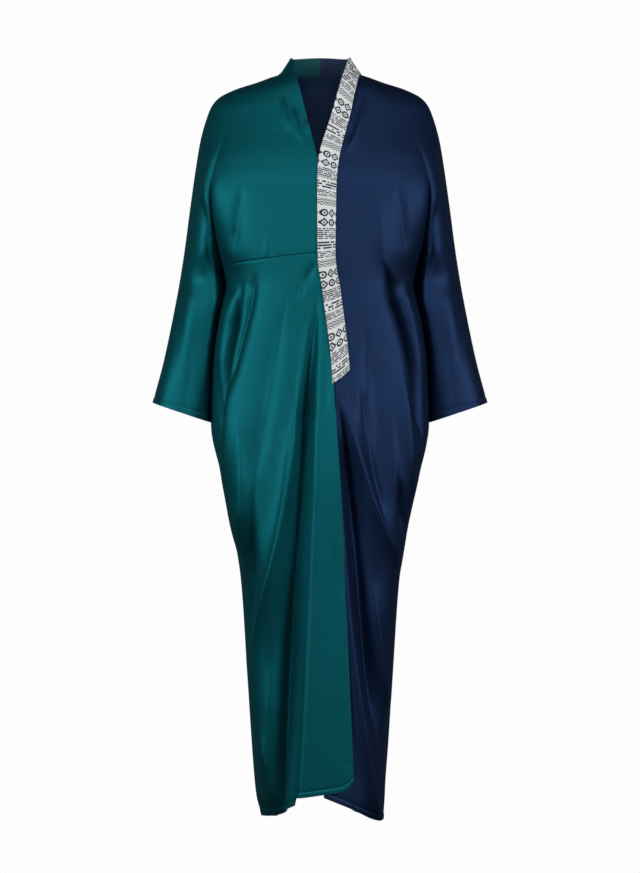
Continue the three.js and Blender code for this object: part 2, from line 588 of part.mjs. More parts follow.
function back() {
  const cells = [];
  const all = BACK_COLUMNS + BACK_SLEEVE_COLUMNS;
  const whole = () => "body";
  for (let j = NECK_ROW; j < HEM_ROW; j++) {
    for (let i = -all; i < all; i++) {
      const onBody = i >= -BACK_COLUMNS && i < BACK_COLUMNS;
      const limb = (column, row) => (row > ARM_ROW && !onBody ? "sleeve" : "body");
      if (j < ARM_ROW || onBody) cells.push(cell(i, j, whole, false));
      else if (j < CUFF_ROW) cells.push(cell(i, j, limb, false));
    }
  }
  return wall(cells, backPlace, CLOTH);
}

// ---- The collar behind the neck, and the band ----

function standPlace(turn, key) {
  const [i, j] = key.split(",");
  const t = i / STAND_COLUMNS;
  const c = mix(2, 4, t);
  const low = mix(NECK_SIDE, NECK_BACK, smooth(t)) + SEAM;
  const high = mix(STAND_SIDE, STAND_BACK, smooth(t));
  const z = mix(high, low, j / STAND_ROWS);
  const at = point(turn, c, z, false);
  if (c === 2) at.y += SEAM / 2;
  if (c === 4) at.x += (turn * SEAM) / 2;
  return { at, out: normal(turn, c, z, false), lift: STAND_LIFT };
}

function stand(turn) {
  const cells = [];
  for (let j = 0; j < STAND_ROWS; j++) {
    for (let i = 0; i < STAND_COLUMNS; i++) cells.push(cell(i, j, () => "stand", turn > 0));
  }
  return wall(cells, (key) => standPlace(turn, key), BAND);
}

function bandPlace(key) {
  const [i, j] = key.split(",");
  const t = (j / BAND_ROWS) ** 1.35;
  const share = i / BAND_COLUMNS;
  const zInner = mix(STAND_SIDE, LAP_TOP, t);
  const zOuter = mix(NECK_SIDE, BAND_END_OUTER, t);
  const cInner = t === 0 ? 2 : placeAt(edges.bandInner(zInner), zInner);
  const cOuter = t === 0 ? 2 : placeAt(edges.bandOuter(zOuter), zOuter);
  const c = mix(cInner, cOuter, share);
  const z = mix(zInner, zOuter, share);
  const at = point(1, c, z, false);
  if (t === 0) at.y -= SEAM / 2;
  return { at, out: normal(1, c, z, false), lift: BAND_LIFT };
}

function band() {
  const cells = [];
  for (let j = 0; j < BAND_ROWS; j++) {
    for (let i = 0; i < BAND_COLUMNS; i++) cells.push(cell(i, j, () => "band", true));
  }
  return wall(cells, bandPlace, BAND);
}

// ---- The garment ----

const satin = (name, color) =>
  new THREE.MeshStandardMaterial({ name, color, roughness: 0.38, metalness: 0, side: THREE.DoubleSide });
const teal = satin("teal_satin", 0x0a5a5e);
const navy = satin("navy_satin", 0x16294f);
const printed = satin("printed_band", 0xdfe4e3);

function piece(name, geometry, material) {
  const mesh = new THREE.Mesh(geometry, material);
  mesh.name = name;
  return mesh;
}

const kaftan = new THREE.Group();
kaftan.name = "kaftan";
kaftan.add(
  piece("front_right_upper", front(-1, "upper"), teal),
  piece("front_right_lower", front(-1, "lower"), teal),
  piece("front_left", front(1, "whole"), navy),
  piece("back", back(), navy),
  piece("neck_stand_right", stand(-1), teal),
  piece("neck_stand_left", stand(1), navy),
  piece("neck_band", band(), printed),
);

export default kaftan;
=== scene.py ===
import math

import bpy
import numpy as np
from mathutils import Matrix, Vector


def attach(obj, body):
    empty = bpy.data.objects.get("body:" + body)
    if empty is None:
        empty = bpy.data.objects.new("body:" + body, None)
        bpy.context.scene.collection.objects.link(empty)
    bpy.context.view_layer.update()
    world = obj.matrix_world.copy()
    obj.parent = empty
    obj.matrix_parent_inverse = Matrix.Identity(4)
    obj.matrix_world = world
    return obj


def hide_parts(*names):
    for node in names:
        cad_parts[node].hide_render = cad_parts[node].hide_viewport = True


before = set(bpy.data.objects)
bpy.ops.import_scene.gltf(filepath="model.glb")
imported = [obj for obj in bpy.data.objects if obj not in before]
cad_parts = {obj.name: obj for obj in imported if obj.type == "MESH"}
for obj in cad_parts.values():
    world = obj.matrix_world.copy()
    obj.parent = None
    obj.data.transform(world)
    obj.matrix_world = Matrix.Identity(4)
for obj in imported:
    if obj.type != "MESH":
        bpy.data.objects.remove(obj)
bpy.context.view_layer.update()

# The cloth's tables and surface are worked out in millimetres, and its meshes are made in metres.
MM = 0.001

# Heights, from the base of the neck
NECK_SIDE = 7.0
NECK_BACK = 13.0
STAND_SIDE = 37.0
STAND_BACK = 46.0
PARTING_TOP = -60.0  # where the section starts to part into body and sleeves
PARTING_RUN = 230.0
V_END = -164.0
BUST_SEAM = -331.0
UNDERARM = -387.0  # where body and sleeve part
BAND_END_OUTER = -543.0
LAP_TOP = -568.0  # where the band ends and the lap begins
LAP_WIDENS = -612.0
CUFF_OUTER = -600.0
CUFF_INNER = -640.0
HEM_SLANT_TOP = -1000.0  # where the rows start to follow the hem
HEM_MIDDLE = -1312.0
HEM_BEND = -1341.0
HEM_BACK = -1330.0
HEM = -1364.0  # the hem at the sides

# The sleeve's section: how flat its front is, from 0 for a plain arc to 1, and how wide its fall to the body
SLEEVE_BOX = 0.75
SLEEVE_BOX_TOP = -230.0
SLEEVE_BOX_RUN = 190.0
SLEEVE_SQUARE = 3
SLEEVE_RUN = 18.0

# The bust seam
SEAM_REACH = 158.0
SEAM_DROP = 18.0
SEAM_FADE = 18.0
SEAM_BEND_TOP = -160.0  # the rows bend to the seam between these heights
SEAM_BEND_END = -560.0
SEAM_PINCH = 0.8
SEAM_PINCH_WIDTH = 1.9
SEAM_PINCH_END = 164.0
SEAM_PINCH_FADE = 10.0

# The hem: where it bends, where it falls to the sides, the round corner and the pleat's step
HEM_BEND_X = 60.0
HEM_FALL_X = 50.0
HEM_FALL_RUN = 58.0
CORNER_X = 61.0
CORNER_SLANT = 8.0
CORNER_RISE = 16.0
CORNER_POWER = 6
HEM_SLANT_POWER = 1.5
BACK_HEM_CURVE = 0.4
PLEAT = -38.0
PLEAT_STEP = 13.0
PLEAT_RUN = 3.0

# How the pieces lie on each other
LAP_WIDTH = 54.0
LAP_LIFT = 3.2  # how far the lapping edge stands over the navy front, and where it starts to
LAP_LIFT_START = 90.0
LAP_LIFT_RUN = 110.0
LAP_LIFT_BESIDE = 62.0
LAP_LIFT_SLOPE = 50.0
EDGE_RUN = 60.0  # how far down an edge takes to change its course
BAND_LIFT = 3.2
STAND_LIFT = 1.6
BUTT = 1.5  # gap between the two fronts beneath the band
TUCK = 3.0  # how far the navy front is pressed in beneath the band at the shoulder
TUCK_END = -90.0
TUCK_RUN = 60.0
TUCK_BESIDE = 8.0
TUCK_SLOPE = 10.0

# How narrow a fold starts, and how it dies out at its end, at an edge, at a side seam and on the sleeve
FOLD_START = 0.4
FOLD_END = 0.35
EDGE_CLEAR = 3.0
SEAM_CLEAR = 2.0
EDGE_FADE = 14.0
LAP_FADE = 70.0
SIDE_FADE = 0.12
SLEEVE_FADE = 0.25
SLEEVE_SEAM_FADE = 0.4

# Cloth and sewing
CLOTH = 1.3 * MM
BAND_CLOTH = 2.2 * MM
BAND_WIDTH = 34.0
HEM_WIDTH = 12.0  # the turned hem, how much thicker it is, and the groove beside it
HEM_RAISED = 0.7
HEM_GROOVE = 0.5
HEM_GROOVE_WIDTH = 2
STITCH = 2.5
STITCH_PITCH = 3.3
STITCH_WIDE = 0.55
TACK_HEIGHT = -539.0
TACK_START = 55.0
TACK_END = 68.0
TACK_ROW = 0.8

# Grids: the body's share of the columns at the neck, and how they crowd towards the side
BODY_SHARE = 16 / 23
SHARE_RUN = 160.0
FRONT_CROWDING = 1.35
BACK_CROWDING = 1.2
NECK_BLEND = -30.0


def table(names, rows):
    return dict(zip(names.split(), np.array(rows, float).T))


BODY = table("z half front back side_front side_back square", [
    (46, 50, 14, 66, 5, 5, 2),
    (20, 64, 30, 73, 5, 5, 2),
    (7, 74, 36, 77, 5, 5, 2),
    (-8, 115, 43, 82, 4, 4, 2),
    (-37, 187, 54, 90, -20, 30, 2.05),
    (-60, 203, 62, 96, -40, 55, 2.3),
    (-100, 209, 78, 105, -62, 78, 2.5),
    (-160, 209, 103, 113, -80, 84, 2.6),
    (-200, 206, 116, 115, -83, 80, 2.6),
    (-250, 199, 122, 116, -70, 70, 2.7),
    (-320, 186, 124, 115, -38, 46, 2.8),
    (-387, 174, 122, 113, 8, 8, 2.8),
    (-414, 178.5, 121, 113, -8, -8, 3.0),
    (-450, 186, 121, 113, -20, -20, 3.1),
    (-525, 196.5, 123, 114, -22, -22, 3.4),
    (-640, 201, 127, 116, -20, -20, 4.0),
    (-735, 182, 125, 114, -15, -15, 4.2),
    (-845, 159, 121, 111, -10, -10, 3.9),
    (-930, 146, 118, 109, -6, -6, 3.4),
    (-1095, 135, 115, 107, -3, -3, 2.9),
    (-1262, 124, 112, 105, 0, 0, 2.8),
    (-1325, 118, 111, 104, 0, 0, 2.7),
    (-1364, 108, 109, 102, 0, 0, 2.6),
])

SLEEVE = table("z inner seam outer ridge bulge_front bulge_back", [
    (46, 0, 0, 50, 5, 0, 0),
    (38, 0, 0, 53, 5, 0, 0),
    (20, 0, 0, 64, 5, 0, 0),
    (7, 0, 0, 74, 5, 0, 0),
    (0, 0, 0, 94, 4, 0, 0),
    (-8, 0, 0, 115, 4, 0, 0),
    (-22, 0, 0, 158, 3, 0, 0),
    (-37, 0, 0, 187, 2, 0, 0),
    (-52, 0, 0, 200, 1, 4, 4),
    (-76, 0, 0, 210, 2, 12, 12),
    (-115, 0, 0, 221, 6, 22, 32),
    (-160, 0, 0, 229, 11, 32, 44),
    (-240, 174, 8, 241, 21, 48, 52),
    (-320, 174, 8, 252, 31, 63, 64),
    (-387, 174, 8, 263, 38, 73, 84),
    (-414, 174, 18, 268, 40, 84, 81),
    (-450, 180, 32, 275, 42, 93, 79),
    (-525, 188, 52, 291, 44, 101, 79),
    (-600, 192, 60, 311, 45, 105, 81),
    (-660, 194, 60, 325, 45, 106, 82),
])

EDGES = table("z teal band_inner band_outer", [
    (37, -52, 52, 90),
    (7, -45, 43.5, 74),
    (-80, -23.5, 19.5, 54),
    (-164, -3, -3, 34),
    (-205, 7, -5, 30),
    (-335, 10, -4.5, 28),
    (-405, 16, 5, 38),
    (-568, 25, 22, 54),
    (-680, 32, 22, 54),
    (-790, 39, 22, 54),
    (-1020, 49, 22, 54),
    (-1220, 57, 22, 54),
    (-1364, 63, 22, 54),
])

# Each fold follows a curve through three places (x0 z0, x1 z1, x2 z2). left and right say how widely
# it falls away, rise is its height or depth, crisp how round its crest is, start the share of its length
# in which it rises, and open is 1 where it runs out through the hem.
TEAL_FOLDS = [
    (-138, -375, -173, -492, -197, -760, 10, 11, -34, 1.3, 0.25, 0),
    (-113, -358, -138, -465, -180, -610, 13, 9, -13, 1.15, 0.3, 0),
    (-146, -385, -176, -480, -196, -600, 9, 6, 4, 1.4, 0.4, 0),
    (-59, -395, -90, -585, -122, -770, 9, 11, -8, 1.2, 0.4, 0),
    (-114, -730, -130, -870, -127, -1090, 12, 11, -27, 1.25, 0.5, 0),
    (-151, -620, -141, -760, -143, -890, 22, 13, 12, 1.5, 0.5, 0),
    (-40, -540, -67, -790, -141, -1095, 12, 26, 22, 1.0, 0.35, 0),
    (-2, -440, -13, -886, -38, -1364, 11, 60, 13, 1.2, 0.35, 1),
    (-44, -840, -66, -1100, -92, -1364, 24, 19, -16, 1.4, 0.45, 1),
    (-12, -400, -43, -886, -88, -1364, 22, 12, -29, 1.4, 0.35, 1),
    (-4, -385, -15, -540, -34, -740, 10, 7, -14, 1.4, 0.35, 0),
    (-5, -340, -16, -366, -27, -396, 4, 5, -4, 1.4, 0.4, 0),
    (-13, -345, -26, -375, -38, -425, 4, 5, -3.5, 1.4, 0.4, 0),
    (-88, -1040, -96, -1160, -104, -1290, 12, 14, 6, 1.4, 0.5, 0),
    (-113, -1180, -105, -1260, -88, -1364, 9, 14, 7, 1.3, 0.5, 1),
]
CHEST_FOLDS = [
    (-138, -196, -151, -275, -158, -345, 8, 12, -5, 1.4, 0.4, 0),
    (-69, -36, -64, -78, -55, -112, 5, 7, 3.5, 1.5, 0.4, 0),
    (-51, -54, -44, -96, -36, -130, 5, 6, 3.2, 1.5, 0.4, 0),
    (-24, -84, -22, -96, -24, -112, 3, 3, 2.5, 1.3, 0.4, 0),
    (-97, -296, -97, -318, -98, -345, 3, 3, 1.6, 1.3, 0.6, 0),
    (-90, -305, -90, -322, -91, -345, 2.5, 2.5, -1.4, 1.3, 0.6, 0),
]
NAVY_FOLDS = [
    (108, -340, 161, -471, 186, -700, 11, 10, -32, 1.3, 0.25, 0),
    (140, -340, 167, -440, 190, -600, 5, 9, 4, 1.4, 0.4, 0),
    (72, -540, 91, -690, 130, -880, 12, 9, -11, 1.2, 0.35, 0),
    (104, -200, 112, -300, 128, -420, 10, 12, 4, 1.5, 0.4, 0),
    (148, -520, 160, -620, 168, -790, 16, 8, 8, 1.4, 0.45, 0),
    (30, -520, 84, -733, 152, -920, 22, 13, 22, 1.15, 0.5, 0),
    (30, -540, 66, -886, 128, -1330, 15, 19, -28, 1.5, 0.25, 0),
    (38, -700, 58, -1031, 104, -1364, 9, 14, 16, 1.5, 0.3, 1),
    (92, -890, 109, -1031, 132, -1190, 12, 9, 10, 1.4, 0.4, 0),
    (128, -600, 134, -713, 143, -850, 10, 8, 5, 1.4, 0.5, 0),
    (80, -455, 85, -560, 88, -690, 11, 13, -7, 1.7, 0.5, 0),
    (46, -540, 56, -620, 66, -720, 8, 10, -5, 1.7, 0.5, 0),
    (140, -720, 146, -780, 152, -850, 8, 6, -11, 1.5, 0.5, 0),
    (138, -196, 151, -275, 158, -345, 12, 8, -5, 1.4, 0.4, 0),
    (80, -36, 68, -104, 44, -156, 6, 7, 4.5, 1.5, 0.4, 0),
    (58, -94, 56, -112, 54, -128, 4, 4, -2, 1.5, 0.4, 0),
    (84, -1160, 96, -1270, 104, -1364, 9, 9, -5, 1.4, 0.4, 1),
]
BACK_FOLDS = [
    (-120, -250, -150, -450, -165, -700, 18, 12, -20, 1.4, 0.3, 0),
    (126, -260, 148, -440, 168, -690, 12, 18, -20, 1.4, 0.3, 0),
    (-60, -330, -72, -600, -112, -900, 11, 26, 15, 1.2, 0.3, 0),
    (52, -300, 70, -560, 118, -880, 26, 11, 15, 1.2, 0.3, 0),
    (-20, -420, -24, -800, -46, -1364, 12, 34, 14, 1.2, 0.3, 1),
    (14, -520, 26, -900, 40, -1364, 14, 13, -20, 1.4, 0.3, 1),
    (86, -860, 84, -1100, 72, -1364, 10, 18, 12, 1.3, 0.3, 1),
    (-92, -900, -88, -1120, -80, -1364, 10, 20, 11, 1.3, 0.3, 1),
    (-96, -560, -118, -720, -132, -880, 10, 12, -15, 1.4, 0.35, 0),
    (88, -640, 110, -780, 130, -940, 12, 10, -15, 1.4, 0.35, 0),
    (-104, -110, -118, -210, -134, -330, 10, 14, 5, 1.3, 0.35, 0),
    (98, -120, 114, -215, 132, -340, 14, 10, 5, 1.3, 0.35, 0),
    (-14, -70, -26, -150, -30, -260, 10, 12, -3, 1.5, 0.4, 0),
    (18, -80, 30, -170, 36, -280, 10, 12, 3, 1.5, 0.4, 0),
]
SLEEVE_FOLDS = [
    (229, -195, 211, -299, 194, -395, 10, 9, -14, 1.3, 0.4, 0),
    (232, -330, 238, -450, 250, -640, 14, 16, 3.5, 1.6, 0.4, 1),
    (244, -300, 256, -420, 270, -560, 12, 12, -3, 1.7, 0.4, 0),
    (238, -200, 246, -280, 258, -400, 10, 12, 2.5, 1.6, 0.4, 0),
    (276, -460, 284, -540, 296, -640, 12, 12, 2.5, 1.6, 0.4, 1),
]


def mix(a, b, t):
    return a + (b - a) * t


def clamp01(t):
    return np.clip(t, 0.0, 1.0)


def smooth(t):
    t = clamp01(t)
    return t * t * (3 - 2 * t)


def curve(rows, name, z):
    """A smooth curve through a table's column, with no overshoot. Its rows run down in z."""
    x = -rows["z"]
    y = rows[name]
    rise = np.diff(y) / np.diff(x)
    product = rise[:-1] * rise[1:]
    total = rise[:-1] + rise[1:]
    inner = np.where(product <= 0, 0.0, 2 * product / np.where(product <= 0, 1.0, total))
    slope = np.concatenate([rise[:1], inner, rise[-1:]])
    at = np.clip(-np.asarray(z, float), x[0], x[-1])
    i = np.clip(np.searchsorted(x, at, side="left") - 1, 0, len(x) - 2)
    h = x[i + 1] - x[i]
    t = (at - x[i]) / h
    u = 1 - t
    ends = y[i] * u * u * (1 + 2 * t) + y[i + 1] * t * t * (3 - 2 * t)
    return ends + h * t * u * (slope[i] * u - slope[i + 1] * t)


# ---- The surface without its folds ----

def quarter(t, half, centre_y, side_y, square):
    """A quarter of a squared oval, t of the way from its middle to its side."""
    angle = clamp01(t) * math.pi / 2
    across = np.sin(angle) ** (2 / square)
    deep = np.clip(np.cos(angle), 0, 1) ** (2 / square)
    return half * across, mix(side_y, centre_y, deep)


def one_ring(place, z):
    """The section at the shoulders, where body and sleeves are one."""
    behind = place > 2
    t = np.where(behind, (4 - place) / 2, place / 2)
    centre_y = np.where(behind, curve(BODY, "back", z), -curve(BODY, "front", z))
    half = curve(SLEEVE, "outer", z)
    return quarter(t, half, centre_y, curve(SLEEVE, "ridge", z), curve(BODY, "square", z))


def two_rings(place, z):
    """The section of the body, up to place 1 and from place 3 on, and of the sleeve between them."""
    behind = place > 2
    near = np.where(behind, 4 - place, place)
    below = z < UNDERARM
    side_y = np.where(behind, curve(BODY, "side_back", z), curve(BODY, "side_front", z))
    centre_y = np.where(behind, curve(BODY, "back", z), -curve(BODY, "front", z))
    half = curve(BODY, "half", z)
    body_x, body_y = quarter(near, half, centre_y, side_y, curve(BODY, "square", z))
    angle = np.clip(near - 1, 0, 1) * math.pi
    across = (1 - np.cos(angle)) / 2
    inner_x = np.where(below, curve(SLEEVE, "inner", z), half)
    inner_y = np.where(below, curve(SLEEVE, "seam", z), side_y)
    bulge = np.where(behind, curve(SLEEVE, "bulge_back", z), -curve(SLEEVE, "bulge_front", z))
    arm_x = mix(inner_x, curve(SLEEVE, "outer", z), across)
    width = curve(SLEEVE, "outer", z) - inner_x
    edge = np.abs(2 * across - 1)
    outer_half = clamp01(1 - edge ** SLEEVE_SQUARE) ** (1 / SLEEVE_SQUARE)
    box = np.where(across < 0.5, smooth(across * width / SLEEVE_RUN), outer_half)
    arc = mix(np.sin(angle), box, SLEEVE_BOX * smooth((SLEEVE_BOX_TOP - z) / SLEEVE_BOX_RUN))
    arm_y = mix(inner_y, curve(SLEEVE, "ridge", z), across) + bulge * arc
    on_body = near <= 1
    return np.where(on_body, body_x, arm_x), np.where(on_body, body_y, arm_y)


def ring(c, z, limb):
    """x and y of the place c on the ring at height z. c is 0 at the middle of the front, 1 and 3 at the
    armpit, 2 at the side and 4 at the middle of the back. limb picks the sleeve at the armpit itself."""
    past = (c < 0) | (c > 4)
    place = np.where(c < 0, -c, np.where(c > 4, 8 - c, c))
    nudge = 1e-9 if limb else -1e-9
    place = np.where(place == 1, 1 + nudge, np.where(place == 3, 3 - nudge, place))
    apart = smooth((PARTING_TOP - z) / PARTING_RUN)
    one = one_ring(place, z)
    two = two_rings(place, z)
    x = mix(one[0], two[0], apart)
    return np.where(past, -x, x), mix(one[1], two[1], apart)


def place_at(x, z):
    """The place on the front at a distance x from the centre line."""
    x, z = np.broadcast_arrays(np.asarray(x, float), np.asarray(z, float))
    low = np.zeros(x.shape)
    high = np.where(z < UNDERARM, 1.0, 2.0)
    for _ in range(30):
        middle = (low + high) / 2
        short = ring(middle, z, False)[0] < np.abs(x)
        low = np.where(short, middle, low)
        high = np.where(short, high, middle)
    return np.sign(x) * low


# ---- The folds ----

def fold_height(fold, x, z):
    x0, z0, x1, z1, x2, z2, left, right, rise, crisp, start, is_open = fold
    t = (z - z0) / (z2 - z0)
    t_middle = (z1 - z0) / (z2 - z0)
    bow = (x1 - mix(x0, x2, t_middle)) / (t_middle * (1 - t_middle))
    crest = mix(x0, x2, t) + bow * t * (1 - t)
    fan = mix(FOLD_START, 1, smooth(t / start))
    away = np.where(x < crest, (crest - x) / left, (x - crest) / right) / fan
    end = 1.0 if is_open else smooth((1 - t) / FOLD_END)
    inside = (t > 0) & (t < 1 + is_open)
    return np.where(inside, rise * smooth(t / start) * end * np.exp(-(away ** crisp)), 0.0)


def folds_height(folds, x, z):
    total = np.zeros(np.broadcast(x, z).shape)
    for fold in folds:
        total = total + fold_height(fold, x, z)
    return total


def clear_of_band(x, z):
    """0 beneath the band and 1 away from it, so that no fold runs under the band."""
    beside = np.maximum(curve(EDGES, "band_inner", z) - x, x - curve(EDGES, "band_outer", z))
    return np.maximum(smooth((beside + EDGE_CLEAR) / EDGE_FADE), smooth((LAP_TOP - z) / LAP_FADE))


def folded(side, c, x, z):
    """Height of the folds over the plain surface. The navy front follows the teal one beneath the lap."""
    place = np.abs(c)
    if side > 0:
        under_lap = smooth((teal_edge(z) + EDGE_CLEAR - x) / EDGE_FADE) * smooth((LAP_TOP - z) / EDGE_RUN)
        front = mix(folds_height(NAVY_FOLDS, x, z), folds_height(TEAL_FOLDS, x, z), under_lap)
    else:
        below = smooth((seam_height(x) + SEAM_CLEAR - z) / EDGE_FADE)
        front = mix(folds_height(CHEST_FOLDS, x, z), folds_height(TEAL_FOLDS, x, z), below)
    on_front = front * clear_of_band(x, z) * smooth((1 - place) / SIDE_FADE)
    on_back = folds_height(BACK_FOLDS, x, z) * smooth((place - 3) / SIDE_FADE)
    clear = smooth((place - 1) / SLEEVE_FADE) * smooth((3 - place) / SLEEVE_FADE)
    clear = clear * smooth(np.abs(place - 2) / SLEEVE_SEAM_FADE)
    on_sleeve = folds_height(SLEEVE_FOLDS, np.abs(x), z) * clear
    return np.where(place <= 1, on_front, np.where(place >= 3, on_back, on_sleeve))


# ---- The surface with its folds ----

def normals(at, side, c, z, limb):
    """Which way is out on the surface that at(place, height) gives."""
    above = z >= UNDERARM
    first = np.where(above, -4.0, 1.0 if limb else np.where(c <= 1, -1.0, 3.0))
    last = np.where(above, 8.0, 3.0 if limb else np.where(c <= 1, 1.0, 5.0))
    step = 0.004
    along = at(np.minimum(c + step, last), z) - at(np.maximum(c - step, first), z)
    up = at(c, z + 1) - at(c, z - 1)
    out = np.cross(along, up) * side
    length = np.linalg.norm(out, axis=-1, keepdims=True)
    return out / np.maximum(length, 1e-12)


def plain_point(side, c, z, limb):
    x, y = ring(c, z, limb)
    return np.stack([side * x, y, z + np.zeros_like(x)], axis=-1)


def point(side, c, z, limb):
    plain = plain_point(side, c, z, limb)
    out = normals(lambda cc, zz: plain_point(side, cc, zz, limb), side, c, z, limb)
    return plain + out * folded(side, c, plain[..., 0], z)[..., None]


def lifted(side, c, z, limb, lift):
    """Points of the folded surface, moved out by lift(x, z)."""
    at = point(side, c, z, limb)
    out = normals(lambda cc, zz: point(side, cc, zz, limb), side, c, z, limb)
    fork = ((c == 1) | (c == 3)) & (np.abs(z - UNDERARM) < 1)
    out = np.where(fork[..., None], np.array([0.0, 0.0, -1.0]), out)
    return at + out * np.asarray(lift(at[..., 0], at[..., 2]))[..., None]


# ---- Rows, edges and warps, as in the solids ----

def seam_rise(x):
    """How far the bust seam lies over the underarm."""
    away = np.abs(x)
    slope = SEAM_DROP * clamp01(away / SEAM_REACH)
    return mix(BUST_SEAM - UNDERARM - slope, 0, smooth((away - SEAM_REACH) / SEAM_FADE))


def seam_height(x):
    """Height of the bust seam."""
    return UNDERARM + seam_rise(x)


def row_shift(z):
    """How far a row follows the bust seam, from 0 to 1."""
    upper = clamp01((SEAM_BEND_TOP - z) / (SEAM_BEND_TOP - UNDERARM))
    lower = clamp01((z - SEAM_BEND_END) / (UNDERARM - SEAM_BEND_END))
    return np.where(z > UNDERARM, upper, lower)


def front_hem(side, x):
    away = np.abs(x)
    level = mix(HEM_MIDDLE, HEM_BEND, clamp01(away / HEM_BEND_X))
    level = level - (HEM_BEND - HEM) * smooth((away - HEM_FALL_X) / HEM_FALL_RUN)
    if side > 0:
        return level
    corner = clamp01(x / CORNER_X)
    step = PLEAT_STEP * smooth((x - PLEAT) / PLEAT_RUN) * clamp01(x / PLEAT)
    rounded = HEM_MIDDLE + CORNER_SLANT * corner + CORNER_RISE * corner ** CORNER_POWER
    return np.where(x < 0, level + step, rounded)


def back_hem(t):
    return mix(HEM_BACK, HEM, smooth(t) * BACK_HEM_CURVE + t * (1 - BACK_HEM_CURVE))


def hem_share(z):
    """How far a row follows the hem, from 0 to 1."""
    return clamp01((HEM_SLANT_TOP - z) / (HEM_SLANT_TOP - HEM)) ** HEM_SLANT_POWER


def sleeve_height(nominal, c):
    across = (1 - np.cos(np.where(c <= 2, c - 1, 3 - c) * math.pi)) / 2
    share = (nominal - UNDERARM) / (CUFF_INNER - UNDERARM)
    return mix(UNDERARM, mix(CUFF_INNER, CUFF_OUTER, across), share)


def teal_edge(z):
    return curve(EDGES, "teal", z)


def navy_edge(z):
    teal = teal_edge(z)
    middle = (curve(EDGES, "band_inner", z) + curve(EDGES, "band_outer", z)) / 2
    under_band = np.where(z > V_END, middle, teal + BUTT)
    meeting = mix(np.maximum(under_band, teal + BUTT), teal + BUTT, smooth((V_END - z) / EDGE_RUN))
    return mix(meeting, teal - LAP_WIDTH, smooth((LAP_WIDENS - z) / EDGE_RUN))


def armpit_place(z, first):
    """Place where the grids of body and sleeve meet. It slides from the armpit to an even share of the
    way from first to the side."""
    even = mix(first, 2, BODY_SHARE)
    return mix(1, even, smooth((z + SHARE_RUN) / SHARE_RUN))


def lap_lift(x, z):
    over = navy_edge(z)
    down = smooth((LAP_TOP + LAP_LIFT_START - z) / LAP_LIFT_RUN)
    return LAP_LIFT * down * smooth((x - over + LAP_LIFT_BESIDE) / LAP_LIFT_SLOPE)


def seam_pinch(x, z):
    """How far the cloth is drawn in along the bust seam."""
    along = smooth((SEAM_PINCH_END - np.abs(x)) / SEAM_PINCH_FADE)
    return -SEAM_PINCH * along * np.exp(-(((z - seam_height(x)) / SEAM_PINCH_WIDTH) ** 2))


def teal_lift(x, z):
    return lap_lift(x, z) + seam_pinch(x, z)


def no_lift(x, z):
    return np.zeros_like(x)


def tuck_lift(x, z):
    beside = curve(EDGES, "band_outer", z) + TUCK_BESIDE - x
    return -TUCK * smooth((z - TUCK_END) / TUCK_RUN) * smooth(beside / TUCK_SLOPE)


# ---- Grids of points ----

def spaced(first, last, step):
    """Even heights from first to last, no more than a step apart."""
    return np.linspace(first, last, max(2, math.ceil(abs(last - first) / step) + 1))


QUICK = 1.0
STAND_STEP = 4 * QUICK
NECK_STEP = 3.5 * QUICK
ROW_STEP = 4.5 * QUICK
SEAM_STEP = 1.25 * QUICK
EDGE_STEP = 1.5 * QUICK
SEAM_ROWS = 5  # how far the close rows reach from the bust seam, and from a hem or cuff
EDGE_ROWS = 14
TOP_ROWS = np.concatenate([spaced(STAND_SIDE, NECK_SIDE, STAND_STEP)[:-1],
                           spaced(NECK_SIDE, PARTING_TOP, NECK_STEP)[:-1],
                           spaced(PARTING_TOP, UNDERARM + SEAM_ROWS, ROW_STEP)[:-1],
                           spaced(UNDERARM + SEAM_ROWS, UNDERARM, SEAM_STEP)])
NECK_ROW = int(np.argmin(np.abs(TOP_ROWS - NECK_SIDE)))
ARM_ROWS = np.concatenate([spaced(UNDERARM, CUFF_INNER + EDGE_ROWS, ROW_STEP)[:-1],
                           spaced(CUFF_INNER + EDGE_ROWS, CUFF_INNER, EDGE_STEP)])
LOW_ROWS = np.concatenate([spaced(UNDERARM, UNDERARM - SEAM_ROWS, SEAM_STEP)[:-1],
                           spaced(UNDERARM - SEAM_ROWS, HEM + EDGE_ROWS, ROW_STEP)[:-1],
                           spaced(HEM + EDGE_ROWS, HEM, EDGE_STEP)])
FRONT_U = np.linspace(0, 1, int(100 / QUICK))
SLEEVE_U = np.linspace(0, 1, int(30 / QUICK))
BACK_U = np.linspace(0, 1, int(50 / QUICK))


def front_corner(turn, u, nominal):
    """Place and height on the front, u of the way from its edge to its side."""
    def across(z):
        start = turn * (teal_edge(z) if turn < 0 else navy_edge(z))
        split = armpit_place(z, place_at(start, z))
        return mix(start, ring(split, z, False)[0], 1 - (1 - u) ** FRONT_CROWDING), split

    x = turn * across(nominal)[0]
    z = nominal + seam_rise(x) * row_shift(nominal) + (front_hem(turn, x) - HEM) * hem_share(nominal)
    at, split = across(z)
    return np.where(u == 1, split, place_at(at, z)), z


def turned(nominal, edge):
    """How much the turned hem adds, with the groove that its stitches pull beside it."""
    past = (edge + HEM_WIDTH - nominal) / HEM_GROOVE_WIDTH
    return HEM_RAISED * smooth(past) - HEM_GROOVE * np.exp(-(past ** 2))


def front_body(turn, rows, lift, below):
    u, nominal = np.meshgrid(FRONT_U, rows)
    c, z = front_corner(turn, u, nominal)
    if below:
        c = np.where(u == 1, 1.0, c)
    return lifted(turn, c, z, False, lambda x, height: lift(x, height) + turned(nominal, HEM))


